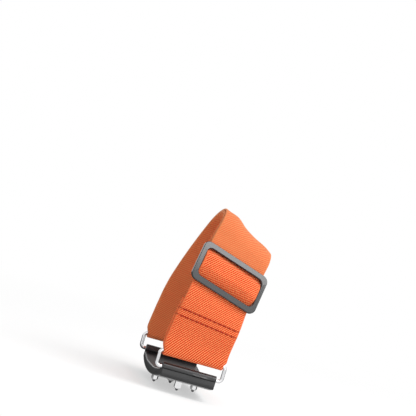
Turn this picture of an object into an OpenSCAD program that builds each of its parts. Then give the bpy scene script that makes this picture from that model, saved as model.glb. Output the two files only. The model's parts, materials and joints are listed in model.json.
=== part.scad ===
// Mid-sole ice cleat: a rubber pad with four ice studs, held under a shoe's arch by
// a webbing strap that hangs from two wire rings and is set by a slider.
// Millimetres. X points to the toe, -Y to the outer side of the foot, Z up.
// The origin is the middle of the flat seat on the pad's top.

/* [Webbing strap] */
// Width of the webbing
strap_w = 50; // [46:0.5:54]
// Thickness of the webbing
strap_t = 1.8; // [1.4:0.1:2.2]
// Space between two layers of webbing that lie on each other
layer_gap = 0.3; // [0.2:0.05:0.5]
// How much narrower the webbing is where it folds round a ring
fold_pinch = 3.2; // [2.8:0.1:5]
// Length over which the webbing comes back to its full width
pinch_len = 10; // [8:1:16]
// Length of the drop-shaped eye that the folded webbing makes over a ring
eye_len = 14; // [9:1:20]
// Free space between the webbing and the ring bar inside a fold
fold_clearance = 0.3; // [0.2:0.05:0.6]
// Where the folded-back end of the outer loop is cut, measured up from the ring bar
loop_tail_len = 37; // [34:1:44]
// How far the end sewn round the slider runs back past the slider's middle
sewn_tail_len = 32; // [28:1:36]

/* [Hoop that the strap makes] */
// Upright run of each leg above its ring
leg_len = 27; // [22:1:32]
// Radius of the soft bend at the top of the upright run
bend_r = 43; // [35:1:50]
// Inward lean of the legs above that bend, in degrees
hoop_lean = 24.5; // [21:0.5:27]
// Straight leaning run of each leg, where the slider sits
slope_len = 47; // [44:1:50]
// Forward lean of the upright runs, in degrees
forward_lean = 4.6; // [2:0.2:7]
// Height over which that forward lean starts above the ring
lean_start = 12; // [8:1:16]
// Extra forward shift that grows to this at the top of the hoop
forward_shift = 13; // [8:1:18]
// Nose-down tilt of the webbing over the instep, in degrees
instep_tilt = 29; // [20:1:36]

/* [Base pad] */
// Length of the pad across the foot
pad_len = 88.8; // [86:0.2:92]
// How much wider the pad is on each side at its middle than at its ends
side_bulge = 1.6; // [1:0.1:3]
// Thickness of the pad at its middle
pad_t = 6.8; // [6.4:0.2:9]
// Thickness of the wings that run out to the ends
wing_t = 6.2; // [5.6:0.1:6.6]
// How far the ends curve up above the middle of the underside
end_rise = 4.9; // [3:0.1:6]

/* [Barrels and rings] */
// Distance from each end of the pad in to its barrel's axis
barrel_inset = 3; // [2.6:0.1:3.6]
// Height of the barrel axes above the seat
barrel_z = 5; // [4.4:0.1:6]
// Outer diameter of the barrels
barrel_d = 6.8; // [6:0.1:7.6]
// Diameter of the ring wire
wire_d = 2.8; // [2.4:0.1:3]
// Free space round the wire in the barrel's bore, on the radius
bore_clearance = 0.1; // [0.05:0.01:0.1]
// Free space at each edge of the folded webbing inside a ring
ring_play = 0.8; // [0.7:0.1:2]
// Free space between the pad's end and each post of a ring
pad_play = 3.1; // [2:0.1:3.6]
// Height of a ring between its two bar axes
ring_h = 12; // [11:0.2:15]
// Radius of the ring's corners at the middle of the wire
ring_corner_r = 2.8; // [2.2:0.1:2.9]

/* [Studs] */
// Distance from the steel disc's rim in to each stud's axis
stud_inset = 4.6; // [4.6:0.1:6]
// Width of a stud's hexagon across its flats
stud_af = 4.8; // [4.4:0.1:5.2]
// How far the hexagon stands out of the pad
stud_out = 4.8; // [4:0.1:7]
// How far the hard tip stands out of the hexagon
tip_out = 1.7; // [1.2:0.1:2.4]
// Diameter of the hard tip
tip_d = 2.4; // [2:0.1:2.6]
// Diameter of the stud's screw thread
thread_d = 4; // [3.6:0.1:4.2]
// Thickness of the steel disc inside the pad
disc_t = 1.6; // [1.2:0.1:1.8]
// Rubber between that disc's rim and the side of the pad
disc_cover = 2.3; // [1.6:0.1:3]

/* [Slider] */
// Where the slider's middle sits along the outer leg, measured up from the ring bar
slider_place = 65.5; // [64:0.5:70]
// Free space at each edge of the webbing inside the slider
slider_play = 0.5; // [0.4:0.1:2]
// Width of the slider, along the webbing
slider_w = 33; // [32:0.5:36]
// Thickness of the slider's frame
slider_t = 3.3; // [2.8:0.1:4]
// Width of the frame's long bars
long_bar_w = 4.6; // [4:0.1:5]
// Width of the frame's short bars
short_bar_w = 3.8; // [3.4:0.1:4]
// Outer corner radius of the frame
slider_corner_r = 5; // [3:0.5:7]
// Corner radius of the frame's window
window_corner_r = 1.2; // [0.6:0.1:1.4]
// Width of the middle bar, along the webbing
middle_bar_w = 6; // [5:0.2:7]
// Thickness of the middle bar
middle_bar_t = 2; // [1.6:0.1:2.4]
// Free space between the frame and the webbing under it
slider_clearance = 0.8; // [0.8:0.05:1]

/* [Stitching] */
// Where the lower seam of the outer loop lies, measured up from the ring bar
loop_seam = 25.8; // [24:0.2:27]
// Distance between the two rows of a seam
seam_rows = 4.8; // [4:0.2:6]
// How far a seam climbs on its way from the webbing's rear edge to its front edge
seam_climb = 1.5; // [0:0.1:2]
// Where the first seam of the sewn end lies, measured up from the slider's middle
slider_seam = 19; // [18:0.5:20]
// Distance from one stitch to the next
stitch_pitch = 4.1; // [3.2:0.1:4.5]
// Length of one stitch
stitch_len = 2.8; // [1.6:0.1:2.9]
// Thickness of the sewing thread
thread_t = 0.6; // [0.4:0.05:0.8]

/* [Hidden] */
// Curve resolution
$fn = 64;

// Nodes
STUDS = ["front", "inner", "rear", "outer"];

// Colours
orange = [0.93, 0.36, 0.17];
thread_red = [0.55, 0.13, 0.08];
rubber = [0.2, 0.2, 0.21];
plastic = [0.16, 0.16, 0.17];
bright_steel = [0.8, 0.81, 0.82];
grey_steel = [0.6, 0.62, 0.64];
carbide = [0.25, 0.25, 0.27];

// Pad: radii of its curved underside, wings and long sides
pad_bottom = -pad_t;
under_r = (pow(pad_len / 2, 2) + pow(end_rise, 2)) / (2 * end_rise);
under_z = pad_bottom + under_r;
wing_r = under_r - wing_t;
ring_in_w = strap_w - fold_pinch + 2 * ring_play;
pad_mid_w = ring_in_w - 2 * pad_play + 2 * side_bulge;
side_r = (pow(pad_len / 2, 2) + pow(side_bulge, 2)) / (2 * side_bulge);
barrel_y = pad_len / 2 - barrel_inset;
bore_r = wire_d / 2 + bore_clearance;
roll_slit = 0.5;
roll_slit_depth = 1.2;
roll_slit_drop = 0.6;
roll_slit_z = barrel_z - roll_slit_drop;

// Studs and what holds them, from the seat down
seat_skin = 1.2;
fit_play = 0.05;
insert_barrel_r = thread_d / 2 + 1;
insert_flange_r = thread_d / 2 + 2.5;
insert_flange_t = 1.2;
insert_neck = 0.8;
disc_r = pad_mid_w / 2 - disc_cover;
stud_circle_r = disc_r - stud_inset;
disc_top = -seat_skin - insert_neck;
disc_bottom = disc_top - disc_t;
stud_shoulder = disc_bottom - insert_flange_t;
stud_end = pad_bottom - stud_out;
ground = stud_end - tip_out;
stud_corner_r = stud_af / sqrt(3);
stud_hole_play = 0.15;
stud_hole_r = stud_corner_r + stud_hole_play;
stud_land = 0.6;
stud_bevel_r = tip_d / 2 + stud_land;
stud_bevel_angle = 50;
tip_socket = 3;
tip_point_r = tip_d / 5;
tip_point_h = tip_out / 2;

// Rings
ring_half_w = (ring_in_w + wire_d) / 2;
ring_bar_z = barrel_z + ring_h;

// Hoop: its reference surface lies between the two layers of webbing
bend_len = bend_r * hoop_lean * PI / 180;
top_r = (barrel_y - bend_r * (1 - cos(hoop_lean)) - slope_len * sin(hoop_lean)) / cos(hoop_lean);
top_len = top_r * (90 - hoop_lean) * PI / 180;
half_len = leg_len + bend_len + slope_len + top_len;
hoop_len = 2 * half_len;
bend_end = leg_len + bend_len;
slope_end = bend_end + slope_len;
slope_start_yz = [bend_r * (1 - cos(hoop_lean)), leg_len + bend_r * sin(hoop_lean)];
slope_end_yz = slope_start_yz + slope_len * [sin(hoop_lean), cos(hoop_lean)];
hoop_rise = slope_end_yz.y + top_r * (1 - sin(hoop_lean));
instep_dir = [cos(instep_tilt), 0, -sin(instep_tilt)];

// Layers of webbing, as distances out from the reference surface
layer_mid = layer_gap / 2 + strap_t / 2;
layer_step = strap_t + layer_gap;
fold_mid = wire_d / 2 + fold_clearance + strap_t / 2;

// Slider: heights above the reference surface
frame_bottom = layer_gap / 2 + strap_t + slider_clearance;
middle_bar_lift = 0.35;
middle_bar_mid = layer_gap / 2 + strap_t + middle_bar_lift + middle_bar_t / 2;
wrap_mid = middle_bar_t / 2 + layer_gap / 2 + strap_t / 2;
wrap_top = middle_bar_mid + wrap_mid;
wrap_bottom = middle_bar_mid - wrap_mid;
wrap_flat = (middle_bar_w - middle_bar_t) / 2;
pass_top = wrap_top + layer_step;
tail_level = -layer_mid - layer_step;
// Slider: places along the webbing, from the slider's middle
window_half = slider_w / 2 - long_bar_w;
window_l = strap_w + 2 * slider_play;
slider_l = window_l + 2 * short_bar_w;
middle_bar_edge_r = 0.45 * middle_bar_t;
bar_overlap = 1;
pass_reach = window_half + bar_overlap;
crest_lead = 0.5;
pass_offset = 1;
wrap_lead = 0.6;
wrap_run = 8.8;
wrap_start = wrap_flat + wrap_lead;
wrap_end = wrap_start + wrap_run;
tail_lead = 1.4;
tail_settle = wrap_end - tail_lead;

// Stitches lie this far out from the webbing's face
stitch_gap = 0.18;
stitch_lift = thread_t / 2 + stitch_gap;

// Helpers
function unit(v) = v / norm(v);
function smooth(t) = let (u = min(1, max(0, t))) u * u * (3 - 2 * u);
function blend(a, b, t) = a + (b - a) * smooth(t);
function steps_after(from, to, count) = [for (i = [1 : count]) from + (to - from) * i / count];
function steps(from, to, count) = concat([from], steps_after(from, to, count));

// Inward lean of the leg, in degrees, at distance s up from the ring bar
function lean_at(s) =
    s < leg_len ? 0 :
    s < bend_end ? (s - leg_len) / bend_r * 180 / PI :
    s < slope_end ? hoop_lean :
    hoop_lean + (s - slope_end) / top_r * 180 / PI;

// How far the leg has moved in and up at distance s
function in_and_up(s) =
    let (a = lean_at(s))
    s < leg_len ? [0, s] :
    s < bend_end ? [bend_r * (1 - cos(a)), leg_len + bend_r * sin(a)] :
    s < slope_end ? slope_start_yz + (s - bend_end) * [sin(hoop_lean), cos(hoop_lean)] :
    slope_end_yz + top_r * [cos(hoop_lean) - cos(a), sin(a) - sin(hoop_lean)];

// Forward shift at height h above the ring bar, and its slope
function forward_at(h) =
    h < 0 ? 0 :
    let (leant = h < lean_start ? h * h / (2 * lean_start) : h - lean_start / 2)
    tan(forward_lean) * leant + forward_shift * pow(h / hoop_rise, 2);
function forward_slope(h) =
    h < 0 ? 0 :
    tan(forward_lean) * min(1, h / lean_start) + 2 * forward_shift * h / pow(hoop_rise, 2);

// Frame of the reference surface on the outer half: place, across, along, outward
function half_frame(s) =
    let (
        a = lean_at(s),
        yz = in_and_up(s),
        place = [forward_at(yz.y), yz.x - barrel_y, ring_bar_z + yz.y],
        along = unit([forward_slope(yz.y) * cos(a), sin(a), cos(a)]),
        across = unit(instep_dir - (instep_dir * along) * along)
    )
    [place, across, along, cross(across, along)];

// The same frame anywhere on the hoop, with the inner half as the outer half's mirror
function hoop_frame(s) =
    let (
        outer_half = s <= half_len,
        f = half_frame(outer_half ? s : hoop_len - s)
    )
    outer_half ? f : [
        [f[0].x, -f[0].y, f[0].z],
        [f[1].x, -f[1].y, f[1].z],
        [-f[2].x, f[2].y, -f[2].z],
        [f[3].x, -f[3].y, f[3].z]
    ];

// Half the webbing's width at distance s
function half_width(s) =
    (strap_w - fold_pinch * (1 - smooth(min(s, hoop_len - s) / pinch_len))) / 2;

// Direction of a path of [distance, height] stops at stop i. Both of its ends run straight along
// the hoop, so that stretches of webbing meet face to face.
function path_direction(path, i) =
    let (
        last = len(path) - 1,
        d = path[min(i + 1, last)] - path[max(i - 1, 0)]
    )
    unit(i == 0 || i == last ? [d.x, 0] : d);

// Four corners of the webbing at stop i of such a path
function webbing_section(path, i) =
    let (
        f = hoop_frame(path[i].x),
        d = path_direction(path, i),
        up = (d.x * f[3] - d.y * f[2]) * strap_t / 2,
        side = f[1] * half_width(path[i].x),
        mid = f[0] + f[3] * path[i].y
    )
    [mid - side - up, mid + side - up, mid + side + up, mid - side + up];

// Webbing that follows such a path. Its wide faces are split the same way on the way up and on
// the way down, so that layers that lie on each other stay parallel.
module webbing(path) {
    last = 4 * (len(path) - 1);
    points = [for (i = [0 : len(path) - 1]) each webbing_section(path, i)];
    sides = [
        for (i = [0 : len(path) - 2], j = [0 : 3])
            let (
                a = 4 * i + j,
                b = 4 * i + (j + 1) % 4,
                rising = path[i + 1].x > path[i].x
            )
            each (j < 2) == rising ?
                [[a, b, b + 4], [a, b + 4, a + 4]] :
                [[a, b, a + 4], [b, b + 4, a + 4]]
    ];
    ends = [[2, 1, 0], [3, 2, 0], [last, last + 1, last + 2], [last, last + 2, last + 3]];
    color(orange) polyhedron(points, concat(ends, sides), convexity = 10);
}

// Height of a layer above the reference surface near a ring, where it opens into an eye
function eye_height(s) = blend(fold_mid, layer_mid, s / eye_len);

// Half turn of webbing round the ring bar at the start of the hoop, from inside to outside
function fold_turn() = [for (a = steps(0, 180, 10)) fold_mid * [-sin(a), -cos(a)]];

// The same path seen from the other end of the hoop
function from_far_end(path) = [for (stop = path) [hoop_len - stop.x, stop.y]];

function reversed(path) = [for (i = [len(path) - 1 : -1 : 0]) path[i]];

// Paths of the five stretches of the one length of webbing
eye_stops = steps(0, eye_len, 6);
loop_stops = concat(
    steps(eye_len, loop_seam, 3),
    steps_after(loop_seam, loop_seam + seam_rows, 2),
    steps_after(loop_seam + seam_rows, loop_tail_len, 2)
);
pass_from = slider_place - pass_reach;
pass_to = slider_place + pass_reach;
outer_leg_path = concat(
    [for (s = reversed(loop_stops)) [s, -layer_mid]],
    [for (i = [5 : -1 : 1]) [eye_stops[i], -eye_height(eye_stops[i])]],
    fold_turn(),
    [for (i = [1 : 5]) [eye_stops[i], eye_height(eye_stops[i])]],
    [for (s = concat(loop_stops, steps_after(loop_tail_len, pass_from, 4))) [s, layer_mid]]
);
pass_path = [
    for (t = steps(-pass_reach, pass_reach, 22)) [
        slider_place + t,
        t < 0 ? blend(layer_mid, pass_top, (t + pass_reach) / (pass_reach - wrap_flat - crest_lead)) :
        blend(pass_top, layer_mid, (t - wrap_start - pass_offset) / wrap_run)
    ]
];
over_instep = concat(
    steps(pass_to, slope_end, 2),
    steps_after(slope_end, hoop_len - slope_end, 16),
    steps_after(hoop_len - slope_end, hoop_len - bend_end, 3),
    steps_after(hoop_len - bend_end, hoop_len - leg_len, 5)
);
instep_path = concat(
    [for (s = over_instep) [s, layer_mid]],
    [[hoop_len - eye_len, layer_mid]],
    from_far_end(concat(
        [for (i = [5 : -1 : 1]) [eye_stops[i], eye_height(eye_stops[i])]],
        reversed(fold_turn()),
        [for (i = [1 : 5]) [eye_stops[i], -eye_height(eye_stops[i])]]
    )),
    [[hoop_len - eye_len, -layer_mid]]
);
return_path = concat(
    [[hoop_len - eye_len, -layer_mid]],
    [for (s = reversed(over_instep)) [s, -layer_mid]]
);
function going_over(t) = blend(wrap_top, -layer_mid, (t - wrap_start) / wrap_run);
function going_back(t) = blend(wrap_bottom, tail_level, (t + wrap_flat) / (tail_settle + wrap_flat));
tail_stops = concat(
    steps_after(tail_settle, slider_seam, 3),
    steps_after(slider_seam, slider_seam + seam_rows, 2),
    steps_after(slider_seam + seam_rows, sewn_tail_len, 3)
);
wrap_path = concat(
    [for (t = steps(pass_reach, wrap_start, 12)) [t, going_over(t)]],
    [for (a = steps(90, 270, 10)) [-wrap_flat, middle_bar_mid] + wrap_mid * [cos(a), sin(a)]],
    [for (t = steps_after(-wrap_flat, tail_settle, 10)) [t, going_back(t)]],
    [for (t = tail_stops) [t, tail_level]]
);
sewn_path = [for (stop = wrap_path) stop + [slider_place, 0]];

// Puts its children on the reference surface: X across, Y along, Z outward
module on_hoop(s) {
    f = hoop_frame(s);
    multmatrix([
        [f[1].x, f[2].x, f[3].x, f[0].x],
        [f[1].y, f[2].y, f[3].y, f[0].y],
        [f[1].z, f[2].z, f[3].z, f[0].z]
    ]) children();
}

module rounded_rectangle(l, w, r) {
    square([l - 2 * r, w], center = true);
    square([l, w - 2 * r], center = true);
    for (x = [-1, 1], y = [-1, 1]) translate([x * (l / 2 - r), y * (w / 2 - r)]) circle(r);
}

// Section of the pad across the foot, as seen from the heel
module pad_section() {
    difference() {
        union() {
            difference() {
                intersection() {
                    translate([0, under_z]) circle(under_r, $fn = 180);
                    translate([-pad_len / 2, 2 * pad_bottom]) square([pad_len, 4 * pad_t]);
                }
                intersection() {
                    translate([0, under_z]) circle(wing_r, $fn = 180);
                    translate([-pad_len, 0]) square([2 * pad_len, 4 * pad_t]);
                }
            }
            for (side = [-1, 1]) translate([side * barrel_y, barrel_z]) circle(d = barrel_d);
        }
        for (side = [-1, 1]) {
            translate([side * barrel_y, barrel_z]) circle(bore_r);
            translate([side * pad_len / 2, roll_slit_z])
                square([2 * roll_slit_depth, roll_slit], center = true);
        }
    }
}

// Space in the rubber for one stud and the insert that it screws into
module stud_pocket() {
    translate([0, 0, ground]) cylinder(r = stud_hole_r, h = stud_shoulder - ground);
    translate([0, 0, stud_shoulder]) cylinder(r = insert_flange_r + fit_play, h = insert_flange_t);
    translate([0, 0, stud_shoulder]) cylinder(r = insert_barrel_r + fit_play, h = -seat_skin - stud_shoulder);
}

module at_stud(i) {
    rotate([0, 0, 90 * i]) translate([stud_circle_r, 0, 0]) children();
}

module base_pad() {
    color(rubber) difference() {
        intersection() {
            rotate([90, 0, 90]) translate([0, 0, -pad_mid_w]) linear_extrude(2 * pad_mid_w) pad_section();
            intersection_for (way = [-1, 1])
                translate([way * (pad_mid_w / 2 - side_r), 0, 2 * pad_bottom])
                    cylinder(r = side_r, h = 6 * pad_t, $fn = 180);
        }
        translate([0, 0, disc_bottom]) cylinder(r = disc_r + fit_play, h = disc_t);
        for (i = [0 : 3]) at_stud(i) stud_pocket();
    }
}

module stiffener_disc() {
    color(grey_steel) difference() {
        translate([0, 0, disc_bottom]) cylinder(r = disc_r, h = disc_t);
        for (i = [0 : 3]) at_stud(i) translate([0, 0, 2 * disc_bottom])
            cylinder(r = insert_barrel_r + fit_play, h = 4 * pad_t);
    }
}

module stud_insert(i) {
    color(grey_steel) at_stud(i) difference() {
        union() {
            translate([0, 0, stud_shoulder]) cylinder(r = insert_flange_r, h = insert_flange_t);
            translate([0, 0, stud_shoulder]) cylinder(r = insert_barrel_r, h = -seat_skin - stud_shoulder);
        }
        translate([0, 0, stud_shoulder - 1]) cylinder(d = thread_d, h = 2 * pad_t);
    }
}

module stud(i) {
    hex_h = stud_shoulder - stud_end;
    bevel_top_r = stud_bevel_r + hex_h * tan(stud_bevel_angle);
    color(bright_steel) at_stud(i) difference() {
        union() {
            translate([0, 0, stud_end]) intersection() {
                cylinder(r = stud_corner_r, h = hex_h, $fn = 6);
                cylinder(r1 = stud_bevel_r, r2 = bevel_top_r, h = hex_h);
            }
            translate([0, 0, stud_shoulder])
                cylinder(d = thread_d - 2 * fit_play, h = -seat_skin - stud_shoulder);
        }
        translate([0, 0, stud_end - 1]) cylinder(d = tip_d + 2 * fit_play, h = tip_socket + 1);
    }
}

module stud_tip(i) {
    color(carbide) at_stud(i) {
        translate([0, 0, ground]) cylinder(r1 = tip_point_r, r2 = tip_d / 2, h = tip_point_h);
        translate([0, 0, ground + tip_point_h]) cylinder(d = tip_d, h = tip_out - tip_point_h + tip_socket);
    }
}

// Closed ring of round wire, upright in the barrel on one side
module wire_ring(side) {
    bar_half = ring_half_w - ring_corner_r;
    post_half = ring_h / 2 - ring_corner_r;
    color(bright_steel) translate([0, side * barrel_y, barrel_z + ring_h / 2]) rotate([90, 0, 0]) {
        for (way = [-1, 1]) {
            translate([-bar_half, way * ring_h / 2, 0])
                rotate([0, 90, 0]) cylinder(d = wire_d, h = 2 * bar_half);
            translate([way * ring_half_w, -post_half, 0])
                rotate([-90, 0, 0]) cylinder(d = wire_d, h = 2 * post_half);
        }
        for (turn = [0 : 3]) {
            corner = [[1, 1], [-1, 1], [-1, -1], [1, -1]][turn];
            translate([corner.x * bar_half, corner.y * post_half, 0])
                rotate([0, 0, 90 * turn])
                    rotate_extrude(angle = 90) translate([ring_corner_r, 0]) circle(d = wire_d);
        }
    }
}

module slider() {
    color(plastic) on_hoop(slider_place) {
        translate([0, 0, frame_bottom]) linear_extrude(slider_t) difference() {
            rounded_rectangle(slider_l, slider_w, slider_corner_r);
            rounded_rectangle(window_l, 2 * window_half, window_corner_r);
        }
        translate([-(window_l + short_bar_w) / 2, 0, middle_bar_mid])
            rotate([90, 0, 90]) linear_extrude(window_l + short_bar_w)
                rounded_rectangle(middle_bar_w, middle_bar_t, middle_bar_edge_r);
    }
}

// One row of stitches lying on the webbing at distance s and height z
module stitch_row(s, z) {
    count = floor((2 * half_width(s) - stitch_len) / stitch_pitch);
    for (i = [0 : count]) {
        across = (i - count / 2) * stitch_pitch;
        on_hoop(s + across * seam_climb / strap_w) translate([across, 0, z])
            cube([stitch_len, thread_t, thread_t], center = true);
    }
}

// Two rows of stitches that show on both faces of a stack of webbing
module seam(s, low, high) {
    for (row = [0, 1]) {
        stitch_row(s + row * seam_rows, low - stitch_lift);
        stitch_row(s + row * seam_rows, high + stitch_lift);
    }
}

module loop_stitching() {
    color(thread_red) seam(loop_seam, -layer_mid - strap_t / 2, layer_mid + strap_t / 2);
}

module slider_stitching() {
    start = slider_place + slider_seam;
    color(thread_red)
        for (row = [0, 1]) stitch_row(start + row * seam_rows, tail_level - strap_t / 2 - stitch_lift);
}

base_pad();
stiffener_disc();
wire_ring(-1);  // outer_ring
wire_ring(1);  // inner_ring
slider();
webbing(outer_leg_path);  // strap_outer_leg
webbing(pass_path);  // strap_slider_pass
webbing(instep_path);  // strap_instep
webbing(return_path);  // strap_return
webbing(sewn_path);  // strap_sewn_end
loop_stitching();
slider_stitching();
for (i = [0 : 3]) {
    stud(i);
    stud_tip(i);
    stud_insert(i);
}
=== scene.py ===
import json
import math

import bmesh
import bpy
from mathutils import Matrix, Vector


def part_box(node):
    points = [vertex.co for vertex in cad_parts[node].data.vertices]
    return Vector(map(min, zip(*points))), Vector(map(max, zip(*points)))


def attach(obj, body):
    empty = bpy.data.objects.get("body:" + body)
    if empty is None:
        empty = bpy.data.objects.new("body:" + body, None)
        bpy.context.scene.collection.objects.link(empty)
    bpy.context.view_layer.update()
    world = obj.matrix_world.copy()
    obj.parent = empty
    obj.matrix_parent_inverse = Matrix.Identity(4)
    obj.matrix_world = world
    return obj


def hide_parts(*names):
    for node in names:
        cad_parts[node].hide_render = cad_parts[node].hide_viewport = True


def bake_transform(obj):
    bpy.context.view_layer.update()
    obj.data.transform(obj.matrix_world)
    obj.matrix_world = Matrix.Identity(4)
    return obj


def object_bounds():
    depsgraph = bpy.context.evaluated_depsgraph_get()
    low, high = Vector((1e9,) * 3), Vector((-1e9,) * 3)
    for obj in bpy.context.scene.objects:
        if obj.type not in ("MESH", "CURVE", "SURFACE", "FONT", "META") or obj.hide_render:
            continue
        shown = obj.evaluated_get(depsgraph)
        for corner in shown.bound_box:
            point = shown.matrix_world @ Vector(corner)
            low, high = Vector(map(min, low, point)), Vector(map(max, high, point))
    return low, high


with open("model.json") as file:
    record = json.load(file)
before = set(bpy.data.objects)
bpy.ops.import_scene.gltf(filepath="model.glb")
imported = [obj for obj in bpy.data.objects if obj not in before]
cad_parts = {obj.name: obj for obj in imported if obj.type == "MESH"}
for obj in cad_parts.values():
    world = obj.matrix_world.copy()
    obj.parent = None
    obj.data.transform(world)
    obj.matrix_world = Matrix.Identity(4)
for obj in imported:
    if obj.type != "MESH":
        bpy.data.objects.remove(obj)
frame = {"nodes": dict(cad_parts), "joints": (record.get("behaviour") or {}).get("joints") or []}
cad_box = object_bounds()
joints = {joint["name"]: joint for joint in frame["joints"]}
scene = bpy.context.scene

MM = 0.001

# Webbing and the hoop that it makes, as in the part's source
STRAP_W = 50 * MM
STRAP_T = 1.8 * MM
LAYER_GAP = 0.3 * MM
FOLD_PINCH = 3.2 * MM
EYE_LEN = 14 * MM
FOLD_CLEARANCE = 0.3 * MM
LOOP_TAIL_LEN = 37 * MM
SEWN_TAIL_LEN = 32 * MM
LEG_LEN = 27 * MM
BEND_R = 43 * MM
HOOP_LEAN = math.radians(24.5)
SLOPE_LEN = 47 * MM
FORWARD_LEAN = math.tan(math.radians(4.6))
LEAN_START = 12 * MM
FORWARD_SHIFT = 13 * MM
INSTEP_TILT = math.radians(29)

# Lie of the webbing, which the source leaves plainer
STOP_STEP = 1.2 * MM
EDGE_ROUND = 0.8 * MM
EDGE_STEPS = 6
FLAT_STEPS = 9
FOLD_STEPS = 20
WRAP_STEPS = 18
PINCH_LEN = 4.5 * MM
TAIL_SHIFT = 0.8 * MM
HUMP_SPREAD = 0.4 * MM
HUMP_SPREAD_RATE = 8
HUMP_DROOP = 1.8 * MM
HUMP_DROOP_FROM = 17 * MM
CROWN_REACH = 26 * MM
CROWN_REAR = 2 * MM
CROWN_REAR_X = 13 * MM
CROWN_FRONT = 0.9 * MM
CROWN_FRONT_X = 18 * MM
CROWN_WIDTH = 7 * MM

# Weave, in millimetres across and along the webbing. A pair is where a soft change starts and ends.
RIB_ANGLE = math.radians(36)
RIB_PITCH = 1.43
COLUMN_PITCH = 1.0
SELVEDGE = (23.2, 24.2)
FACE_EDGE = (24.3, 24.8)
SEAM_GROOVE = (0.2, 0.75)
NEEDLE_HOLE = (0.25, 0.55)

# Slider and the webbing threaded through it, as in the part's source
SLIDER_PLACE = 65.5 * MM
SLIDER_W = 33 * MM
SLIDER_T = 3.3 * MM
SLIDER_PLAY = 0.5 * MM
LONG_BAR_W = 4.6 * MM
SHORT_BAR_W = 3.8 * MM
SLIDER_CORNER_R = 5 * MM
MIDDLE_BAR_W = 6 * MM
MIDDLE_BAR_T = 2 * MM
MIDDLE_BAR_EDGE_R = 0.45 * MIDDLE_BAR_T
MIDDLE_BAR_LIFT = 0.35 * MM
SLIDER_CLEARANCE = 0.8 * MM
BAR_OVERLAP = 1 * MM
CREST_LEAD = 0.5 * MM
PASS_OFFSET = 1 * MM
WRAP_LEAD = 0.6 * MM
WRAP_RUN = 8.8 * MM
TAIL_LEAD = 1.4 * MM

# Softer edges of the slider
WINDOW_CORNER_R = 4.2 * MM
BAR_BEVEL = 0.5 * MM
SLIDER_DOME = 1.2 * MM

# Seams, as in the part's source
LOOP_SEAM = 25.8 * MM
SEAM_ROWS = 4.8 * MM
SEAM_CLIMB = 1.5 * MM
SLIDER_SEAM = 19 * MM
STITCH_PITCH = 4.1 * MM

# Strands of the seams: half a stitch is a share of its pitch, and the rest are shares of the thread's radius
THREAD_R = 0.36 * MM
STITCH_HALF = 0.46
STRAND_LIFT = 0.3
STRAND_DIP = 1.6
STRAND_TAPER = 0.35
STRAND_STEPS = 8
STRAND_SIDES = 8

# Wire rings, with the corners of the part's source
RING_CORNER_R = 2.8 * MM
RING_CORNER_STEPS = 12
WIRE_SIDES = 20

# Pad, as in the part's source
PAD_LEN = 88.8 * MM
PAD_T = 6.8 * MM
WING_T = 6.2 * MM
END_RISE = 4.9 * MM
SIDE_BULGE = 1.6 * MM
BARREL_R = 3.4 * MM
SLIT_DROP = 0.6 * MM
SLIT_HALF = 0.25 * MM
SLIT_DEPTH = 1.2 * MM
BORE_CLEARANCE = 0.1 * MM

# Softer edges of the pad and the lifted middle of its outer lip. Angles are in degrees.
EDGE_FILLET = 0.9 * MM
UNDER_FILLET = 0.9 * MM
LIP_FILLET = 0.2 * MM
LIP_LIFT = 0.9 * MM
LIP_ARC = 20
LIP_MIDDLE = 8.5 * MM
LIP_HALF = 9.5 * MM
LOW_EDGE_FROM = -60
LOW_EDGE_STEPS = 3
BARREL_END = 212
BARREL_STEPS = 28
FILLET_STEPS = 5
PAD_STEP = 2 * MM
SEAT_STEP = 3 * MM
PAD_SHARE_STEP = 1 / 16
PAD_SHARP_ANGLE = 50
STUD_CLEARANCE = 0.15 * MM
HOLE_SIDES = 48
STUD_PLACES = ("front", "inner", "rear", "outer")

# Camera at the photograph's viewing angle: degrees and metres, with sensor and lens in millimetres
CAMERA_AZIMUTH = -11.1
CAMERA_ELEVATION = 1.3
CAMERA_ROLL = 16.8
CAMERA_TARGET = Vector((-14.1, 0, 126.2)) * MM
CAMERA_DISTANCE = 1.248
CAMERA_SENSOR = 36
CAMERA_LENS = 141

# Stage, in metres and watts: the floor, how it fades, how far its back half is painted dark in reflections,
# and each lamp's place, size and power
FLOOR_R = 4
FLOOR_SIDES = 128
FLOOR_FADE = (0.1, 0.6)
MIRROR_FADE = (-0.02, 0.02)
PAINTED_DARK_REFLECTION = 0.9
SKY_STRENGTH = 0.5
LAMP_AIM = Vector((0, 0, 0.05))
LAMPS = (
    ("overhead_softbox", Vector((0.45, -0.3, 0.9)), 0.75, 9.2),
    ("front_softbox", Vector((0.4, -1.15, 0.2)), 1.4, 6.3),
    ("back_softbox", Vector((-0.6, 1.1, 0.35)), 1.4, 4),
)


# Small helpers

def mix(a, b, t):
    return a + (b - a) * t


def smooth(t):
    t = min(1, max(0, t))
    return t * t * (3 - 2 * t)


def stops(start, end, step=STOP_STEP):
    count = max(1, round(abs(end - start) / step))
    return [mix(start, end, i / count) for i in range(count + 1)]


def turn(start, end, count):
    return [math.radians(mix(start, end, i / count)) for i in range(count + 1)]


# Meshes

def skin(work, rings, closed):
    """Skins rings of points. Gives the side faces, with their corners' places in the rings, and the caps."""
    verts = [[work.verts.new(point) for point in ring] for ring in rings]
    count = len(rings[0])
    sides = []
    for i in range(len(rings) if closed else len(rings) - 1):
        k = (i + 1) % len(rings)
        for j in range(count):
            m = (j + 1) % count
            corners = [(i, j), (i, m), (k, m), (k, j)]
            sides.append((work.faces.new([verts[a][b] for a, b in corners]), corners))
    caps = [] if closed else [work.faces.new(verts[0][::-1]), work.faces.new(verts[-1])]
    return sides, caps


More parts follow.
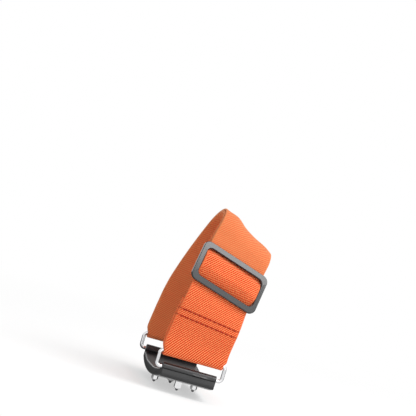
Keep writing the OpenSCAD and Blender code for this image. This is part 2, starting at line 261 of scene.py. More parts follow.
def new_piece(name, work, material, sharp_angle):
    mesh = bpy.data.meshes.new(name)
    bmesh.ops.recalc_face_normals(work, faces=work.faces)
    work.to_mesh(mesh)
    work.free()
    piece = bpy.data.objects.new(name, mesh)
    scene.collection.objects.link(piece)
    mesh.materials.append(material)
    for face in mesh.polygons:
        face.use_smooth = True
    mesh.set_sharp_from_angle(angle=math.radians(sharp_angle))
    return piece


def loft(name, rings, material, weave=None, closed=False, sharp_angle=40):
    """A skin over rings. With weave, each point's distance across and along, it also lays out the cloth."""
    work = bmesh.new()
    layer = work.loops.layers.uv.new("weave") if weave else None
    sides, caps = skin(work, rings, closed)
    if weave:
        for face, corners in sides:
            for loop, (a, b) in zip(face.loops, corners):
                loop[layer].uv = weave[a][b]
        for cap, end in zip(caps, (weave[0], weave[-1])):
            for loop in cap.loops:
                loop[layer].uv = 0, end[0][1]
    return new_piece(name, work, material, sharp_angle)


def join(name, groups, material, sharp_angle=40):
    """One mesh from several groups of rings, each a closed solid of its own."""
    work = bmesh.new()
    for rings in groups:
        skin(work, rings, closed=False)
    return new_piece(name, work, material, sharp_angle)


def circle_ring(centre, across, up, radius, sides):
    angles = turn(0, 360 - 360 / sides, sides - 1)
    return [centre + radius * (math.cos(a) * across + math.sin(a) * up) for a in angles]


# Shader maths

class Shade:
    """A value in a material's node tree, on which Python's operators add Math nodes."""

    def __init__(self, nodes, socket):
        self.nodes = nodes
        self.socket = socket

    def __add__(self, other):
        return self.nodes.math("ADD", self, other)

    def __sub__(self, other):
        return self.nodes.math("SUBTRACT", self, other)

    def __rsub__(self, other):
        return self.nodes.math("SUBTRACT", other, self)

    def __mul__(self, other):
        return self.nodes.math("MULTIPLY", self, other)

    def __truediv__(self, other):
        return self.nodes.math("DIVIDE", self, other)

    def __abs__(self):
        return self.nodes.math("ABSOLUTE", self)

    __radd__ = __add__
    __rmul__ = __mul__

    def wave(self):
        """1 at whole numbers and 0 half way between them."""
        return self.nodes.math("COSINE", self * math.tau) * 0.5 + 0.5

    def larger(self, other):
        return self.nodes.math("MAXIMUM", self, other)

    def ramp(self, low, high):
        """0 below low and 1 above high, with a soft change between them."""
        settings = {"interpolation_type": "SMOOTHSTEP"}
        inputs = {"Value": self, "From Min": low, "From Max": high}
        return self.nodes.add("ShaderNodeMapRange", settings, inputs)


class NodeTree:
    """Adds and links the nodes of a material or of the world."""

    def __init__(self, owner):
        owner.use_nodes = True
        self.tree = owner.node_tree

    def put(self, socket, value):
        if isinstance(value, Shade):
            self.tree.links.new(value.socket, socket)
        else:
            socket.default_value = value

    def add(self, kind, settings, inputs, output=0):
        node = self.tree.nodes.new(kind)
        for name, value in settings.items():
            setattr(node, name, value)
        for name, value in inputs.items():
            self.put(node.inputs[name], value)
        return Shade(self, node.outputs[output])

    def math(self, operation, *values):
        return self.add("ShaderNodeMath", {"operation": operation}, dict(enumerate(values)))

    def rays(self):
        """1 for a ray straight from the camera, and 1 for a ray from a mirror or through glass."""
        seen, mirrored, through = (
            self.add("ShaderNodeLightPath", {}, {}, output=ray)
            for ray in ("Is Camera Ray", "Is Glossy Ray", "Is Transmission Ray")
        )
        return seen, mirrored.larger(through)

    def blend(self, factor, dark, light):
        """Colour between two colours."""
        settings = {"data_type": "RGBA"}
        return self.add("ShaderNodeMix", settings, {0: factor, 6: dark, 7: light}, output=2)


class Finish(NodeTree):
    """A material with one Principled shader. Constants go straight to the shader's sockets."""

    def __init__(self, name, **constants):
        self.material = bpy.data.materials.new(name)
        super().__init__(self.material)
        self.shader = self.tree.nodes["Principled BSDF"]
        for socket, value in constants.items():
            self.shader.inputs[socket.replace("_", " ")].default_value = value

    def place(self):
        return self.add("ShaderNodeTexCoord", {}, {}, output="Object")

    def noise(self, scale, detail=2.0, where=None):
        inputs = {"Vector": where or self.place(), "Scale": scale, "Detail": detail}
        return self.add("ShaderNodeTexNoise", {"noise_dimensions": "3D"}, inputs)

    def bump(self, height, depth, strength=1.0):
        inputs = {"Height": height, "Distance": depth, "Strength": strength}
        self.drive(Normal=self.add("ShaderNodeBump", {}, inputs))

    def drive(self, **links):
        for socket, value in links.items():
            self.put(self.shader.inputs[socket.replace("_", " ")], value)


def twill_webbing(name, light, relief=1.0, sheen=0.12, seam_rows=()):
    """Orange twill. A relief below 1 flattens the weave's tone and lifts it paler, as painted overhead light.
    A seam row is its distance along the webbing, in millimetres, and its climb across it; its groove and
    needle holes are darkened with painted shade.
    """
    finish = Finish(
        name, Roughness=0.85, Specular_IOR_Level=0.15,
        Sheen_Weight=sheen, Sheen_Roughness=0.5, Sheen_Tint=(1, 0.8, 0.5, 1),
    )
    cloth = finish.add("ShaderNodeUVMap", {"uv_map": "weave"}, {})
    across = finish.add("ShaderNodeSeparateXYZ", {}, {"Vector": cloth}, output="X")
    along = finish.add("ShaderNodeSeparateXYZ", {}, {"Vector": cloth}, output="Y")
    drift = finish.noise(0.35, where=cloth) - 0.5
    rib = (across * math.cos(RIB_ANGLE) - along * math.sin(RIB_ANGLE) + drift * 0.25) / RIB_PITCH
    column = (across + drift * 0.3) / COLUMN_PITCH
    selvedge = abs(across).ramp(*SELVEDGE)
    yarn = rib.wave() * (column.wave() * 0.45 + 0.55) * (1 - selvedge) + selvedge * 0.45
    # A relief below 1 flattens the weave and lifts its tone paler: painted light from the overhead lamp
    yarn = yarn * relief + 0.75 * (1 - relief)
    fuzz = finish.noise(6.0, 4.0, cloth)
    shade = (yarn * 1.05 + fuzz * 0.4 - 0.28).ramp(0.06, 0.84)
    colour = finish.blend(shade, DEEP_ORANGE, light)
    height = yarn + fuzz * 0.3
    for row, climb in seam_rows:
        distance = abs(along - across * climb - row)
        groove = (1 - distance.ramp(*SEAM_GROOVE)) * (1 - abs(across).ramp(*FACE_EDGE))
        hole = finish.math("PINGPONG", across, STITCH_PITCH / MM / 2)
        hole = (1 - distance.larger(hole).ramp(*NEEDLE_HOLE)) * groove
        # The seam's groove and its needle holes are darkened with painted shade
        colour = finish.blend(groove * 0.55, colour, PAINTED_GROOVE_SHADE)
        colour = finish.blend(hole * 0.85, colour, PAINTED_HOLE_SHADE)
        height = height - groove * 1.2 - hole
    finish.drive(Base_Color=colour)
    finish.bump(height, 0.25 * MM, 0.8 * relief)
    return finish.material


def seam_thread():
    finish = Finish("seam_thread", Roughness=0.75, Specular_IOR_Level=0.2)
    strand = finish.noise(1500, 3.0)
    finish.drive(Base_Color=finish.blend(strand, (0.2, 0.009, 0.003, 1), (0.5, 0.03, 0.008, 1)))
    finish.bump(strand, 0.1 * MM, 0.5)
    return finish.material


def moulded_rubber():
    finish = Finish("moulded_rubber", Specular_IOR_Level=0.5)
    grain = finish.noise(2600, 4.0)
    cloud = finish.noise(90, 3.0)
    shade = cloud * 0.6 + grain * 0.4
    finish.drive(
        Base_Color=finish.blend(shade, (0.004, 0.004, 0.005, 1), (0.014, 0.014, 0.015, 1)),
        Roughness=cloud * 0.18 + 0.24,
    )
    finish.bump(grain + cloud * 0.5, 0.03 * MM, 0.3)
    return finish.material


def mottled(name, colours, mottle, roughness, relief, **constants):
    """One noise, of a scale and a detail, leads from the first colour to the second, and from the lowest
    roughness up by a rise. It also gives a relief of a depth and a strength."""
    finish = Finish(name, **constants)
    mottle = finish.noise(*mottle)
    lowest, rise = roughness
    finish.drive(Base_Color=finish.blend(mottle, *colours), Roughness=mottle * rise + lowest)
    finish.bump(mottle, *relief)
    return finish.material


ORANGE = (0.83, 0.34, 0.12, 1)
# Paler orange for the webbing over the instep: painted overhead light, not a colour of the webbing's own
PAINTED_TOPLIGHT_ORANGE = (0.62, 0.24, 0.086, 1)
DEEP_ORANGE = (0.64, 0.022, 0.003, 1)
# Painted shade in the seams' grooves and needle holes
PAINTED_GROOVE_SHADE = (0.33, 0.012, 0.003, 1)
PAINTED_HOLE_SHADE = (0.045, 0.006, 0.003, 1)
DIM_EDGE = (0.05, 0.05, 0.05, 1)

WEBBING = twill_webbing("twill_webbing", ORANGE)
# Paler, flatter copy of the twill for the instep and the return layer: painted overhead light, with more
# sheen
PAINTED_TOPLIGHT_WEBBING = twill_webbing("painted_toplight_webbing", PAINTED_TOPLIGHT_ORANGE, relief=0.45, sheen=0.3)
THREAD = seam_thread()
RUBBER = moulded_rubber()
PLASTIC = mottled(
    "slider_plastic", ((0.014, 0.015, 0.016, 1), (0.024, 0.025, 0.027, 1)), mottle=(120, 3.0),
    roughness=(0.22, 0.08), relief=(0.05 * MM, 0.15), Specular_IOR_Level=0.65,
)
WIRE = mottled(
    "polished_wire", ((0.62, 0.62, 0.63, 1), (0.8, 0.8, 0.81, 1)), mottle=(400, 5.0),
    roughness=(0.08, 0.14), relief=(0.03 * MM, 0.2), Metallic=1.0, Specular_Tint=DIM_EDGE,
)
STUD = mottled(
    "bright_stud", ((0.72, 0.72, 0.73, 1), (0.88, 0.88, 0.88, 1)), mottle=(900, 4.0),
    roughness=(0.08, 0.1), relief=(0.03 * MM, 0.3), Metallic=1.0, Specular_Tint=DIM_EDGE,
)
TIP = mottled(
    "sintered_tip", ((0.05, 0.05, 0.055, 1), (0.16, 0.16, 0.17, 1)), mottle=(4000, 4.0),
    roughness=(0.35, 0.25), relief=(0.05 * MM, 0.5), Metallic=0.7,
)
STEEL = mottled(
    "plain_steel", ((0.42, 0.43, 0.45, 1), (0.58, 0.59, 0.6, 1)), mottle=(300, 3.0),
    roughness=(0.3, 0.2), relief=(0.03 * MM, 0.3), Metallic=1.0,
)

# Hoop: its reference surface lies between the two layers of webbing
outer_bar = Vector(joints["strap_on_outer_ring"]["pos_m"])
outer_barrel = Vector(joints["outer_ring_swing"]["pos_m"])
BARREL_Y = -outer_bar.y
bend_len = BEND_R * HOOP_LEAN
bend_end = LEG_LEN + bend_len
slope_end = bend_end + SLOPE_LEN
bend_in = BEND_R * (1 - math.cos(HOOP_LEAN))
bend_up = LEG_LEN + BEND_R * math.sin(HOOP_LEAN)
slope_in = bend_in + SLOPE_LEN * math.sin(HOOP_LEAN)
slope_up = bend_up + SLOPE_LEN * math.cos(HOOP_LEAN)
top_r = (BARREL_Y - slope_in) / math.cos(HOOP_LEAN)
half_len = slope_end + top_r * (math.pi / 2 - HOOP_LEAN)
hoop_len = 2 * half_len
hoop_rise = slope_up + top_r * (1 - math.sin(HOOP_LEAN))
instep_dir = Vector((math.cos(INSTEP_TILT), 0, -math.sin(INSTEP_TILT)))

# Layers of webbing, as distances out from the reference surface
layer_mid = LAYER_GAP / 2 + STRAP_T / 2
layer_step = STRAP_T + LAYER_GAP
wire_r = (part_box("outer_ring")[1].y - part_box("outer_ring")[0].y) / 2
fold_mid = wire_r + FOLD_CLEARANCE + STRAP_T / 2

# Slider: heights above the reference surface, and places along the webbing from its middle
frame_bottom = LAYER_GAP / 2 + STRAP_T + SLIDER_CLEARANCE
middle_bar_mid = LAYER_GAP / 2 + STRAP_T + MIDDLE_BAR_LIFT + MIDDLE_BAR_T / 2
wrap_mid = MIDDLE_BAR_T / 2 + LAYER_GAP / 2 + STRAP_T / 2
wrap_top = middle_bar_mid + wrap_mid
wrap_bottom = middle_bar_mid - wrap_mid
wrap_flat = (MIDDLE_BAR_W - MIDDLE_BAR_T) / 2
pass_top = wrap_top + layer_step
tail_level = -layer_mid - layer_step
window_half = SLIDER_W / 2 - LONG_BAR_W
pass_reach = window_half + BAR_OVERLAP
wrap_start = wrap_flat + WRAP_LEAD
tail_settle = wrap_start + WRAP_RUN - TAIL_LEAD


def leg_at(s):
    """Inward lean of a leg, and how far it has moved in and up, at distance s from the ring bar."""
    if s < LEG_LEN:
        return 0, 0, s
    if s < bend_end:
        lean = (s - LEG_LEN) / BEND_R
        return lean, BEND_R * (1 - math.cos(lean)), LEG_LEN + BEND_R * math.sin(lean)
    if s < slope_end:
        run = s - bend_end
        return HOOP_LEAN, bend_in + run * math.sin(HOOP_LEAN), bend_up + run * math.cos(HOOP_LEAN)
    lean = HOOP_LEAN + (s - slope_end) / top_r
    side = slope_in + top_r * (math.cos(HOOP_LEAN) - math.cos(lean))
    return lean, side, slope_up + top_r * (math.sin(lean) - math.sin(HOOP_LEAN))


def forward_at(h):
    """Forward shift at height h above the ring bar, and its slope."""
    if h < 0:
        return 0, 0
    leant = h * h / (2 * LEAN_START) if h < LEAN_START else h - LEAN_START / 2
    shift = FORWARD_LEAN * leant + FORWARD_SHIFT * (h / hoop_rise) ** 2
    slope = FORWARD_LEAN * min(1, h / LEAN_START) + 2 * FORWARD_SHIFT * h / hoop_rise ** 2
    return shift, slope


def hoop_frame(s):
    """Place, across, along and outward directions of the reference surface."""
    outer_half = s <= half_len
    lean, side, h = leg_at(s if outer_half else hoop_len - s)
    shift, slope = forward_at(h)
    place = Vector((shift, side - BARREL_Y, outer_bar.z + h))
    along = Vector((slope * math.cos(lean), math.sin(lean), math.cos(lean))).normalized()
    across = (instep_dir - instep_dir.dot(along) * along).normalized()
    outward = across.cross(along)
    if outer_half:
        return place, across, along, outward
    flip = Vector((1, -1, 1))
    return place * flip, across * flip, -(along * flip), outward * flip


def half_width(s):
    reach = min(s, hoop_len - s) / PINCH_LEN
    return (STRAP_W - FOLD_PINCH * (1 - smooth(reach))) / 2


def hump_raised(s):
    return (pass_height(s - SLIDER_PLACE) - layer_mid) / (pass_top - layer_mid)


def hump_half_width(s):
    """The hump spreads to the slider's short bars where it stands high."""
    return STRAP_W / 2 + HUMP_SPREAD * smooth(HUMP_SPREAD_RATE * hump_raised(s))


def tail_shift(s, height):
    """The folded-back end lies a little to the rear of the leg that covers it."""
    return -TAIL_SHIFT * smooth(s / EYE_LEN) if height < 0 else 0


def hump_droop(s, x):
    """The hump's two edges hang down to the slider's short bars."""
    edge = smooth((abs(x) - HUMP_DROOP_FROM) / (STRAP_W / 2 - HUMP_DROOP_FROM))
    return -HUMP_DROOP * hump_raised(s) * edge


def crown(s, x):
    """Outward swell of the webbing at the top of the hoop, at distance x across it."""
    top = smooth(1 - abs(s - half_len) / CROWN_REACH)
    rear = CROWN_REAR * math.exp(-(((x + CROWN_REAR_X) / CROWN_WIDTH) ** 2))
    front = CROWN_FRONT * math.exp(-(((x - CROWN_FRONT_X) / CROWN_WIDTH) ** 2))
    return top * (rear + front)


def webbing_outline():
    """Points of the cross-section, as shares of the flat half width, the edge's round and half the height."""
    flat = [i / FLAT_STEPS for i in range(-FLAT_STEPS, FLAT_STEPS + 1)]
    rim = [(math.cos(a), math.sin(a)) for a in turn(90, -90, EDGE_STEPS)][1:-1]
    top = [(x, 0, 1) for x in flat]
    right = [(1, c, s) for c, s in rim]
    bottom = [(-x, 0, -1) for x in flat]
    left = [(-1, -c, -s) for c, s in rim]
    return top + right + bottom + left


OUTLINE = webbing_outline()


def lengths(path, start=0):
    """Distance of each stop along the webbing from its cut end. The path starts at a distance of start."""
    total = [start]
    for (s0, h0), (s1, h1) in zip(path, path[1:]):
        total.append(total[-1] + math.hypot(s1 - s0, h1 - h0))
    return total


def forward_lean(s):
    """Forward lean of the webbing in its own plane, at distance s from a ring bar, up to the seam's."""
    return math.atan(forward_at(leg_at(min(s, LOOP_SEAM))[2])[1])


def weave_slant(s, height):
    """Sideways bend of the webbing between the seam and s, which the weave doesn't follow."""
    side = max(-1, min(1, height / layer_mid))
    if s > half_len:
        s, side = hoop_len - s, -side
    return side * (forward_lean(LOOP_SEAM) - forward_lean(s))


def webbing(
    name, path, start, material, width_at=half_width, shift_at=lambda s, height: 0, swell_at=crown,
):
    """A stretch of webbing that follows a path of (distance, height) stops."""
    rings = []
    weave = []
    for i, ((s, height), length) in enumerate(zip(path, lengths(path, start))):
        place, across, along, outward = hoop_frame(s)
        before, after = path[max(i - 1, 0)], path[min(i + 1, len(path) - 1)]
        run = Vector((after[0] - before[0], after[1] - before[1])).normalized()
        up = (run.x * outward - run.y * along) * STRAP_T / 2
        middle = place + outward * height + across * shift_at(s, height)
        flat = width_at(s) - EDGE_ROUND
        sides = [x * flat + rim * EDGE_ROUND for x, rim, z in OUTLINE]
        rings.append([
            middle + across * x + outward * swell_at(s, x) + up * z
            for x, (share, rim, z) in zip(sides, OUTLINE)
        ])
        slant = weave_slant(s, height)
        weave.append([(x / MM, (length + x * slant) / MM) for x in sides])
    return loft(name, rings, material, weave=weave)


def eye_height(s):
    return mix(fold_mid, layer_mid, smooth(s / EYE_LEN))


def fold_turn():
    return [(-fold_mid * math.sin(a), -fold_mid * math.cos(a)) for a in turn(0, 180, FOLD_STEPS)]


def from_far_end(path):
    return [(hoop_len - s, height) for s, height in path]


def pass_height(t):
    if t < 0:
        climb = (t + pass_reach) / (pass_reach - wrap_flat - CREST_LEAD)
        return mix(layer_mid, pass_top, smooth(climb))
    return mix(pass_top, layer_mid, smooth((t - wrap_start - PASS_OFFSET) / WRAP_RUN))


def going_over(t):
    return mix(wrap_top, -layer_mid, smooth((t - wrap_start) / WRAP_RUN))


def going_round(a):
    """Place of the webbing on its turn round the middle bar."""
    return -wrap_flat + wrap_mid * math.cos(a), middle_bar_mid + wrap_mid * math.sin(a)


def going_back(t):
    return mix(wrap_bottom, tail_level, smooth((t + wrap_flat) / (tail_settle + wrap_flat)))


# Paths of the five stretches of the one length of webbing
eye = stops(0, EYE_LEN)
seam_end = LOOP_SEAM + SEAM_ROWS
loop_stops = (
    stops(EYE_LEN, LOOP_SEAM)
    + stops(LOOP_SEAM, seam_end)[1:]
    + stops(seam_end, LOOP_TAIL_LEN)[1:]
)
pass_from = SLIDER_PLACE - pass_reach
pass_to = SLIDER_PLACE + pass_reach
far_eye = hoop_len - EYE_LEN
outer_leg_path = (
    [(s, -layer_mid) for s in loop_stops[:0:-1]]
    + [(s, -eye_height(s)) for s in eye[:0:-1]]
    + fold_turn()
    + [(s, eye_height(s)) for s in eye[1:]]
    + [(s, layer_mid) for s in loop_stops[1:] + stops(LOOP_TAIL_LEN, pass_from)[1:]]
)
pass_path = [(SLIDER_PLACE + t, pass_height(t)) for t in stops(-pass_reach, pass_reach, STOP_STEP / 2)]
instep_path = (
    [(s, layer_mid) for s in stops(pass_to, far_eye)[:-1]]
    + from_far_end([(s, eye_height(s)) for s in eye[:0:-1]] + fold_turn()[::-1])
    + from_far_end([(s, -eye_height(s)) for s in eye[1:]])
)
return_path = [(s, -layer_mid) for s in stops(far_eye, pass_to)]
sewn_path = [(SLIDER_PLACE + t, height) for t, height in (
    [(t, going_over(t)) for t in stops(pass_reach, wrap_start, STOP_STEP / 2)]
    + [going_round(a) for a in turn(90, 270, WRAP_STEPS)]
    + [(t, going_back(t)) for t in stops(-wrap_flat, tail_settle, STOP_STEP / 2)[1:]]
    + [(t, tail_level) for t in stops(tail_settle, SEWN_TAIL_LEN)[1:]]
)]

# Two places on the reference surface: just past the loop seam, and where the outer leg meets the slider
LEG_GIVE = [hoop_frame(s)[0] for s in (seam_end + SEAM_CLIMB, pass_from)]

seam_slope = SEAM_CLIMB / STRAP_W
sewn_rows = []
for (s, height), length in zip(outer_leg_path, lengths(outer_leg_path)):
    if s in (LOOP_SEAM, seam_end):
        sewn_rows.append((length / MM, math.copysign(seam_slope, height)))
SEWN_WEBBING = twill_webbing("sewn_webbing", ORANGE, seam_rows=sewn_rows)
starts = [0]
for path in (outer_leg_path, pass_path, instep_path, return_path):
    starts.append(lengths(path, starts[-1])[-1])
outer_leg = webbing(
    "outer_leg_webbing", outer_leg_path, starts[0], SEWN_WEBBING, shift_at=tail_shift,
)
slider_hump = webbing(
    "slider_hump_webbing", pass_path, starts[1], WEBBING, width_at=hump_half_width, swell_at=hump_droop,
)
# The instep and the return layer take the twill with painted overhead light
instep = webbing("instep_webbing", instep_path, starts[2], PAINTED_TOPLIGHT_WEBBING)
return_layer = webbing("return_webbing", return_path, starts[3], PAINTED_TOPLIGHT_WEBBING)
sewn_end = webbing("sewn_end_webbing", sewn_path, starts[4], WEBBING)
for piece, node in (
    (outer_leg, "strap_outer_leg"),
    (slider_hump, "strap_slider_pass"),
    (instep, "strap_instep"),
    (return_layer, "strap_return"),
    (sewn_end, "strap_sewn_end"),
):
    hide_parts(node)
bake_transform(outer_leg)
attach(slider_hump, "slider")
for piece in (instep, return_layer, sewn_end):
    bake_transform(piece)


# Seams: each stitch is a strand that dips into the webbing at both ends
def stitch_row(s, face, outside):
    """Strands of one row at distance s, lying on the face at that height."""
    width = half_width(s) - EDGE_ROUND
    count = math.floor(2 * width / STITCH_PITCH)
    strands = []
    for i in range(count):
        rings = []
        for step in range(STRAND_STEPS + 1):
            t = mix(-1, 1, step / STRAND_STEPS)
            x = (i + 0.5 - count / 2 + t * STITCH_HALF) * STITCH_PITCH
            place, across, along, outward = hoop_frame(s + x * seam_slope)
            lift = outward if outside else -outward
            dip = t ** 6
            height = THREAD_R * (STRAND_LIFT - STRAND_DIP * dip)
            centre = place + across * x + outward * face + lift * height
            radius = THREAD_R * (1 - STRAND_TAPER * dip)
            rings.append(circle_ring(centre, along, lift, radius, STRAND_SIDES))
        strands.append(rings)
    return strands


def seam(name, rows, node):
    strands = [strand for s, face, outside in rows for strand in stitch_row(s, face, outside)]
    piece = join(name, strands, THREAD, sharp_angle=80)
    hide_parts(node)
    return piece


outer_face = layer_mid + STRAP_T / 2
tail_face = tail_level - STRAP_T / 2
loop_rows = [(s, side * outer_face, side > 0) for s in (LOOP_SEAM, seam_end) for side in (-1, 1)]
slider_rows = [(SLIDER_PLACE + SLIDER_SEAM + row * SEAM_ROWS, tail_face, False) for row in (0, 1)]
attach(seam("loop_seam_thread", loop_rows, "loop_stitching"), "strap")
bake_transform(seam("slider_seam_thread", slider_rows, "slider_stitching"))


# Slider: rounded bars round a window, with a thin bar across its middle
def rounded_rectangle(length, width, radius, arc=10):
    points = []
    for corner, (x, y) in enumerate(((1, 1), (-1, 1), (-1, -1), (1, -1))):
        for a in turn(90 * corner, 90 * corner + 90, arc):
            points.append((
                x * (length / 2 - radius) + radius * math.cos(a),
                y * (width / 2 - radius) + radius * math.sin(a),
            ))
    return points


def slider_frame():
    place, across, along, outward = hoop_frame(SLIDER_PLACE)
    window_l = STRAP_W + 2 * SLIDER_PLAY
    outside = rounded_rectangle(window_l + 2 * SHORT_BAR_W, SLIDER_W, SLIDER_CORNER_R)
    inside = rounded_rectangle(window_l, 2 * window_half, WINDOW_CORNER_R)
    rings = []
    for (xo, yo), (xi, yi) in zip(outside, inside):
        bevel = BAR_BEVEL / math.hypot(xi - xo, yi - yo)
        top = [(0, BAR_BEVEL), (bevel, 0), (0.5, 0), (1 - bevel, 0), (1, BAR_BEVEL)]
        ring = []
        for t, drop in top:
            dome = SLIDER_DOME * (mix(yo, yi, t) / (SLIDER_W / 2)) ** 2
            ring.append((t, SLIDER_T - dome - drop))
        ring += [(t, drop) for t, drop in top[::-1]]
        rings.append([
            place + across * mix(xo, xi, t) + along * mix(yo, yi, t) + outward * (frame_bottom + z)
            for t, z in ring
        ])
    bars = loft("slider_bars", rings, PLASTIC, closed=True, sharp_angle=30)
    reach = (window_l + SHORT_BAR_W) / 2
    rings = []
    for x in (-reach, reach):
        rings.append([
            place + across * x + along * y + outward * (middle_bar_mid + z)
            for y, z in rounded_rectangle(MIDDLE_BAR_W, MIDDLE_BAR_T, MIDDLE_BAR_EDGE_R, arc=5)
        ])
    middle = loft("slider_middle_bar", rings, PLASTIC, sharp_angle=60)
    for piece in (bars, middle):
        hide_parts("slider")
        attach(piece, "slider")


slider_frame()


# Wire rings
def wire_ring(name, node, body):
    low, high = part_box(node)
    middle = (low + high) / 2
    radius = (high.y - low.y) / 2
    length = high.x - low.x - 2 * radius
    height = high.z - low.z - 2 * radius
    corners = rounded_rectangle(length, height, RING_CORNER_R, RING_CORNER_STEPS)
    path = [Vector((x, 0, z)) for x, z in corners]
    side = Vector((0, 1, 0))
    rings = []
    for i, point in enumerate(path):
        ahead = path[(i + 1) % len(path)] - path[i - 1]
        out = ahead.normalized().cross(side)
        rings.append(circle_ring(middle + point, out, side, radius, WIRE_SIDES))
    piece = loft(name, rings, WIRE, closed=True)
    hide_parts(node)
    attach(piece, body)


wire_ring("outer_wire_ring", "outer_ring", "outer_ring")
wire_ring("inner_wire_ring", "inner_ring", "inner_ring")


# Pad: a curved slab with a barrel rolled along each end over a slit
pad_half = PAD_LEN / 2
pad_mid_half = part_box("base_pad")[1].x
side_r = (pad_half ** 2 + SIDE_BULGE ** 2) / (2 * SIDE_BULGE)
under_r = (pad_half ** 2 + END_RISE ** 2) / (2 * END_RISE)
under_z = under_r - PAD_T
wing_r = under_r - WING_T
seat_half = math.sqrt(wing_r ** 2 - under_z ** 2)
slit_z = outer_barrel.z - SLIT_DROP


def pad_half_profile(lift):
    """Points (out, up, fillet) from the pad's middle underneath, round one end, to the seat's middle."""
    points = []
    for out in stops(0, pad_half - EDGE_FILLET, PAD_STEP):
        points.append((out, under_z - math.sqrt(under_r ** 2 - out ** 2), UNDER_FILLET))
    low_edge = points[-1][1]
    for a in turn(LOW_EDGE_FROM, 0, LOW_EDGE_STEPS):
        out = pad_half - EDGE_FILLET + EDGE_FILLET * math.cos(a)
        points.append((out, low_edge + EDGE_FILLET * (1 + math.sin(a)), UNDER_FILLET))
    points.append((pad_half, slit_z - SLIT_HALF - LIP_FILLET, EDGE_FILLET))
    points.append((pad_half - LIP_FILLET, slit_z - SLIT_HALF, LIP_FILLET))
    points.append((pad_half - SLIT_DEPTH, slit_z - SLIT_HALF / 2, LIP_FILLET))
    points.append((pad_half - SLIT_DEPTH, slit_z + SLIT_HALF / 2, LIP_FILLET))
    mouth = math.degrees(math.asin((SLIT_HALF - SLIT_DROP) / BARREL_R))
    for a in turn(mouth, BARREL_END, BARREL_STEPS):
        flare = lift * smooth(1 - (math.degrees(a) - mouth) / LIP_ARC)
        radius = BARREL_R + flare
        out = BARREL_Y + radius * math.cos(a)
        up = outer_barrel.z + radius * math.sin(a) + flare / 2
        points.append((out, up, LIP_FILLET if a < 0 else EDGE_FILLET / 2))
    inner_edge = BARREL_Y + BARREL_R * math.cos(math.radians(BARREL_END))
    for out in stops(inner_edge, seat_half, PAD_STEP)[1:]:
        points.append((out, under_z - math.sqrt(wing_r ** 2 - out ** 2), EDGE_FILLET))
    for out in stops(seat_half, 0, SEAT_STEP)[1:]:
        points.append((out, 0, EDGE_FILLET))
    return points


def pad_ring(way, bend, share):
    """One ring of the pad, at a share of the way to a side and at an angle, bend, round its fillet."""
    lens = max(0, 1 - ((way * share * pad_mid_half - LIP_MIDDLE) / LIP_HALF) ** 2)
    outer_end = [(-out, up, fillet) for out, up, fillet in pad_half_profile(LIP_LIFT * lens)]
    inner_end = pad_half_profile(0)
    profile = outer_end + inner_end[-2:0:-1]
    ring = []
    for i, (y, z, fillet) in enumerate(profile):
        before, after = profile[i - 1], profile[(i + 1) % len(profile)]
        run = Vector((after[0] - before[0], after[1] - before[1])).normalized()
        inset = fillet * (1 - math.cos(bend))
        side = pad_mid_half - side_r + math.sqrt(side_r ** 2 - y ** 2)
        x = way * (share * (side - fillet) + fillet * math.sin(bend))
        ring.append(Vector((x, y + run.y * inset, z - run.x * inset)))
    return ring


def cut_holes(piece, holes):
    """Cuts round holes, each a start, an end and a radius, out of a piece."""
    cylinders = []
    for start, end, radius in holes:
        across = (end - start).orthogonal().normalized()
        up = (end - start).normalized().cross(across)
        cylinders.append([circle_ring(centre, across, up, radius, HOLE_SIDES) for centre in (start, end)])
    drill = join("drill", cylinders, RUBBER)
    cut = piece.modifiers.new("holes", "BOOLEAN")
    cut.object = drill
    cut.solver = "EXACT"
    bpy.context.view_layer.objects.active = piece
    bpy.ops.object.modifier_apply(modifier="holes")
    bpy.data.objects.remove(drill)
    piece.data.set_sharp_from_angle(angle=math.radians(PAD_SHARP_ANGLE))


def pad_holes():
    """Bores for the ring wires and pockets for the studs."""
    reach = pad_mid_half + PAD_T
    holes = []
    for y in (-BARREL_Y, BARREL_Y):
        ends = [Vector((x, y, outer_barrel.z)) for x in (-reach, reach)]
        holes.append((*ends, wire_r + BORE_CLEARANCE))
    for place in STUD_PLACES:
        low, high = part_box("stud_" + place)
        axis = (low + high) / 2
        ends = [Vector((axis.x, axis.y, z)) for z in (low.z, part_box("stud_insert_" + place)[0].z)]
        holes.append((*ends, max(high.x - low.x, high.y - low.y) / 2 + STUD_CLEARANCE))
    return holes


def moulded_pad():
    rings = [pad_ring(-1, a, 1) for a in turn(90, 0, FILLET_STEPS)]
    rings += [pad_ring(math.copysign(1, f), 0, abs(f)) for f in stops(-1, 1, PAD_SHARE_STEP)[1:-1]]
    rings += [pad_ring(1, a, 1) for a in turn(0, 90, FILLET_STEPS)]
    piece = loft("moulded_pad", rings, RUBBER, sharp_angle=PAD_SHARP_ANGLE)
    cut_holes(piece, pad_holes())
    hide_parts("base_pad")
    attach(piece, "base")


moulded_pad()


# Carried-over pieces of the frame
frame["nodes"]["stiffener_disc"].data.materials[0] = STEEL
for place in STUD_PLACES:
    frame["nodes"]["stud_" + place].data.materials[0] = STUD
    frame["nodes"]["stud_tip_" + place].data.materials[0] = TIP
    frame["nodes"]["stud_insert_" + place].data.materials[0] = STEEL


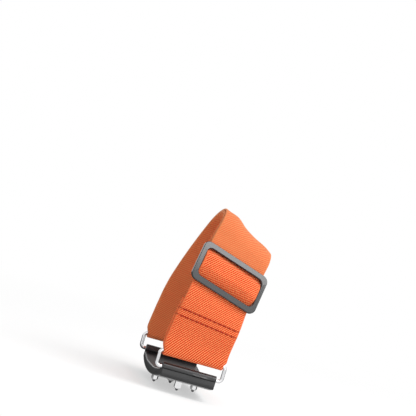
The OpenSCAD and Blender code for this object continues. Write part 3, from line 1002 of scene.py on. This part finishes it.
# Stage: floor, lamps, world and camera
def studio():
    black, white = (0, 0, 0, 1), (1, 1, 1, 1)
    bpy.ops.mesh.primitive_circle_add(
        vertices=FLOOR_SIDES, radius=FLOOR_R, fill_type="NGON", location=(0, 0, cad_box[0].z),
    )
    floor = bpy.context.object
    floor.name = "floor"
    paint = Finish("floor_paint", Base_Color=(0.9, 0.9, 0.9, 1), Roughness=0.9)
    reach = paint.add("ShaderNodeVectorMath", {"operation": "LENGTH"}, {0: paint.place()}, output="Value")
    depth = paint.add("ShaderNodeSeparateXYZ", {}, {0: paint.place()}, output="Y")
    seen, mirrored = paint.rays()
    # In reflections the floor behind the object is painted dark, a painted dark reflection for the edges of
    # the studs and wires; to the camera it stays white
    painted_reflection_tone = seen.larger(1 - depth.ramp(*MIRROR_FADE) * PAINTED_DARK_REFLECTION)
    backdrop = paint.blend(painted_reflection_tone, black, white)
    glow = paint.add("ShaderNodeEmission", {}, {"Color": backdrop, "Strength": 1.0})
    shader = Shade(paint, paint.shader.outputs[0])
    share = seen * (reach.ramp(*FLOOR_FADE) * 0.5 + 0.5) + mirrored
    mixed = paint.add("ShaderNodeMixShader", {}, {0: share, 1: shader, 2: glow})
    paint.put(paint.tree.nodes["Material Output"].inputs["Surface"], mixed)
    floor.data.materials.append(paint.material)

    scene.world = bpy.data.worlds.new("studio")
    sky = NodeTree(scene.world)
    light = sky.add("ShaderNodeBackground", {}, {"Color": white, "Strength": SKY_STRENGTH})
    backdrop = sky.add("ShaderNodeBackground", {}, {"Color": white, "Strength": 1.0})
    seen, mirrored = sky.rays()
    mixed = sky.add("ShaderNodeMixShader", {}, {0: seen + mirrored, 1: light, 2: backdrop})
    sky.put(sky.tree.nodes["World Output"].inputs["Surface"], mixed)


def lamp(name, place, size, watts):
    data = bpy.data.lights.new(name, "AREA")
    data.size = size
    data.energy = watts
    lamp_object = bpy.data.objects.new(name, data)
    scene.collection.objects.link(lamp_object)
    lamp_object.location = place
    lamp_object.rotation_mode = "QUATERNION"
    lamp_object.rotation_quaternion = (LAMP_AIM - place).to_track_quat("-Z", "Y")


def camera():
    azimuth, elevation, roll = map(math.radians, (CAMERA_AZIMUTH, CAMERA_ELEVATION, CAMERA_ROLL))
    back = Vector((
        math.sin(azimuth) * math.cos(elevation),
        -math.cos(azimuth) * math.cos(elevation),
        math.sin(elevation),
    ))
    level = Vector((math.cos(azimuth), math.sin(azimuth), 0))
    upright = back.cross(level)
    right = math.cos(roll) * level + math.sin(roll) * upright
    up = math.cos(roll) * upright - math.sin(roll) * level
    data = bpy.data.cameras.new("photo_camera")
    data.sensor_width = CAMERA_SENSOR
    data.lens = CAMERA_LENS
    camera_object = bpy.data.objects.new("photo_camera", data)
    scene.collection.objects.link(camera_object)
    turned = Matrix((right, up, back)).transposed().to_4x4()
    camera_object.matrix_world = Matrix.Translation(CAMERA_TARGET + back * CAMERA_DISTANCE) @ turned
    scene.camera = camera_object


studio()
for settings in LAMPS:
    lamp(*settings)
camera()
scene.view_settings.view_transform = "Standard"
